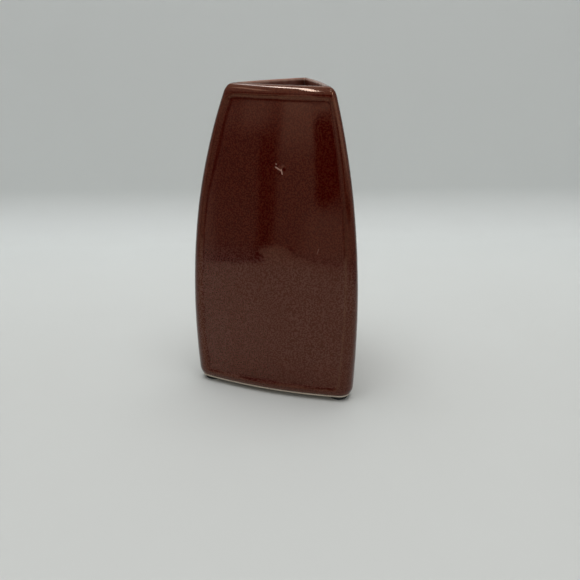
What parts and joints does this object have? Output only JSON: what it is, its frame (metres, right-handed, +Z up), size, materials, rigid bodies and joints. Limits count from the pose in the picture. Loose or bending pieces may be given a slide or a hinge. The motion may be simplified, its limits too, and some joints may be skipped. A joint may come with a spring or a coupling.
{
  "type": "triangular vase",
  "caption": "Tall glazed ceramic vase, triangular in plan, with bowed faces, sunk face panels, a narrow triangular mouth and stick-on foot pads; holds cut or dried stems.",
  "frame": {"origin": "centre of the footprint's bounding box, on the surface that the pads stand on", "axes": "+Z up through the mouth, -Y out of the front face, +X to the right as seen from the front"},
  "size_m": [0.101, 0.093, 0.18],
  "materials": {
    "bare_clay": "bare fired clay, cream, fine-grained and matte",
    "red_brown_glaze": "glossy deep red-brown glaze with fine speckle, thinner and olive-brown on edges",
    "black_rubber": "matte black stick-on pad",
    "clear_adhesive": "thin milky adhesive"
  },
  "bodies": {
    "root": {"clay_body": "bare_clay", "glaze_coat": "red_brown_glaze", "foot_pad_front_left": "black_rubber", "foot_pad_front_right": "black_rubber", "foot_pad_back": "black_rubber", "pad_adhesive_front_left": "clear_adhesive", "pad_adhesive_front_right": "clear_adhesive", "pad_adhesive_back": "clear_adhesive"}
  },
  "joints": []
}
